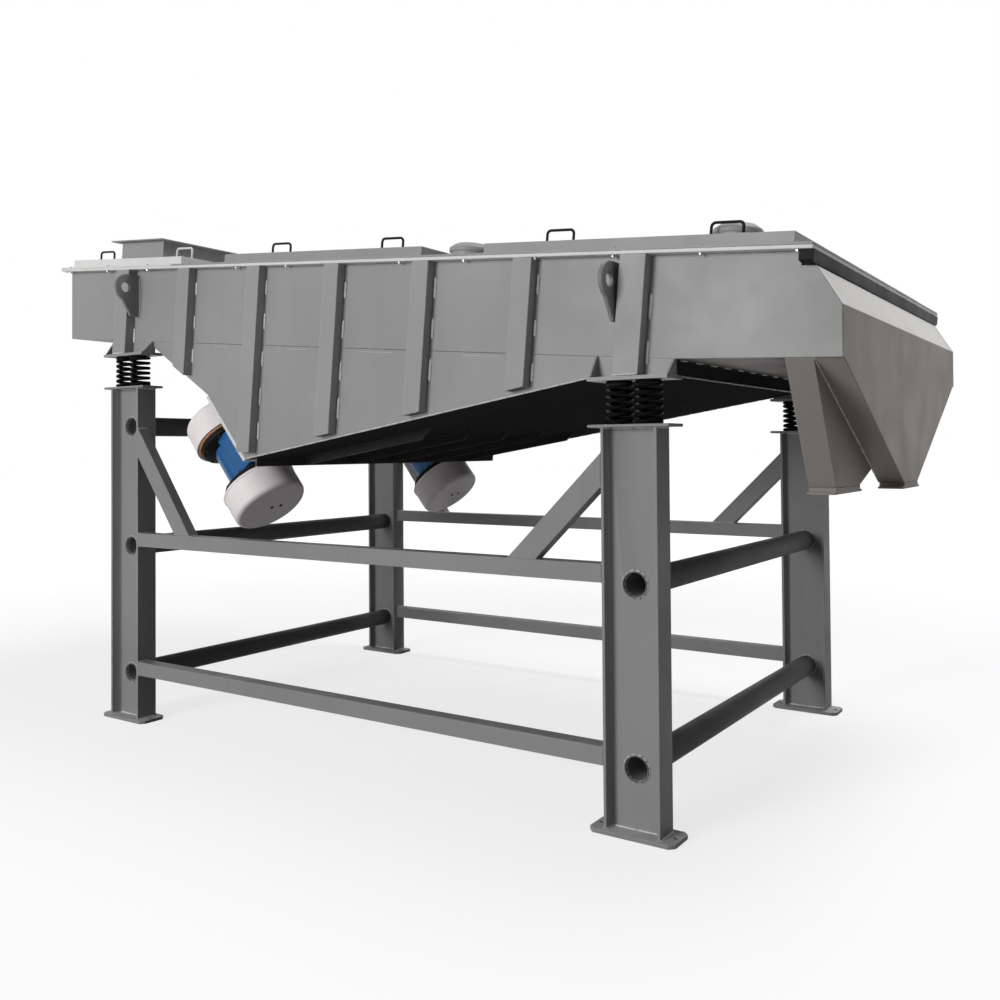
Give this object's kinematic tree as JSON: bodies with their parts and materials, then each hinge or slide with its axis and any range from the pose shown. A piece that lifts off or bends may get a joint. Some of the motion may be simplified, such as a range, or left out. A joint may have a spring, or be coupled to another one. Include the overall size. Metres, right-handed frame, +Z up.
{
  "type": "linear vibrating screen",
  "caption": "Closed inclined screening box with a hopper bottom, vibration motors and discharge chutes, carried on coil springs by a welded beam frame.",
  "frame": {"origin": "on the floor, midway between the four legs", "axes": "+X along the machine from feed to discharge, +Y across it to the far side, +Z up"},
  "size_m": [3.7857, 2.0556, 2.2793],
  "materials": {
    "frame_paint": "grey enamel on welded sections and tube",
    "box_paint": "grey enamel on sheet steel",
    "underside_paint": "dark grey enamel",
    "spring_steel": "black lacquered spring wire",
    "handle_rod": "black bent rod",
    "deck_steel": "worn bare steel",
    "motor_blue": "glossy blue enamel on cast iron",
    "motor_cover": "pale pinkish grey enamel on pressed steel",
    "motor_seal": "orange-brown seal"
  },
  "bodies": {
    "support_frame": {"leg_feed_near": "frame_paint", "leg_feed_far": "frame_paint", "leg_discharge_near": "frame_paint", "leg_discharge_far": "frame_paint", "base_plates": "frame_paint", "cap_plates": "frame_paint", "cross_tubes_feed": "frame_paint", "cross_tubes_discharge": "frame_paint", "side_rails_lower": "frame_paint", "side_rails_upper": "frame_paint", "corner_braces": "frame_paint", "springs_feed_near": "spring_steel", "springs_feed_far": "spring_steel", "springs_discharge_near": "spring_steel", "springs_discharge_far": "spring_steel"},
    "screen_box": {"side_plate_near": "box_paint", "side_plate_far": "box_paint", "hopper_side_near": "box_paint", "hopper_side_far": "box_paint", "feed_end_wall": "box_paint", "feed_floor": "box_paint", "hopper_back": "box_paint", "motor_plate": "box_paint", "hopper_bottom": "underside_paint", "hopper_keels": "underside_paint", "cross_plate": "underside_paint", "discharge_floor": "underside_paint", "end_hood": "box_paint", "front_chute": "box_paint", "rear_chute": "box_paint", "outlet_flanges": "box_paint", "side_ribs_near": "box_paint", "side_ribs_far": "box_paint", "spring_posts": "box_paint", "spring_brackets": "box_paint", "lifting_lugs": "box_paint", "top_flange": "box_paint", "cover_feed": "box_paint", "cover_main": "box_paint", "cover_discharge": "box_paint", "gap_plates": "box_paint", "feed_inlet": "box_paint", "handles": "handle_rod", "inspection_caps": "box_paint", "screen_deck": "deck_steel", "motor_near_housing": "motor_blue", "motor_near_covers": "motor_cover", "motor_near_seals": "motor_seal", "motor_far_housing": "motor_blue", "motor_far_covers": "motor_cover", "motor_far_seals": "motor_seal"}
  },
  "joints": [
    {"name": "screen_throw", "type": "slide", "parent": "support_frame", "child": "screen_box", "axis": [0.766, 0, 0.6428], "range_m": [-0.005, 0.005], "stiffness_N_per_m": 600000, "springref_m": 0.01723, "deforming": ["springs_feed_near", "springs_feed_far", "springs_discharge_near", "springs_discharge_far"]}
  ]
}
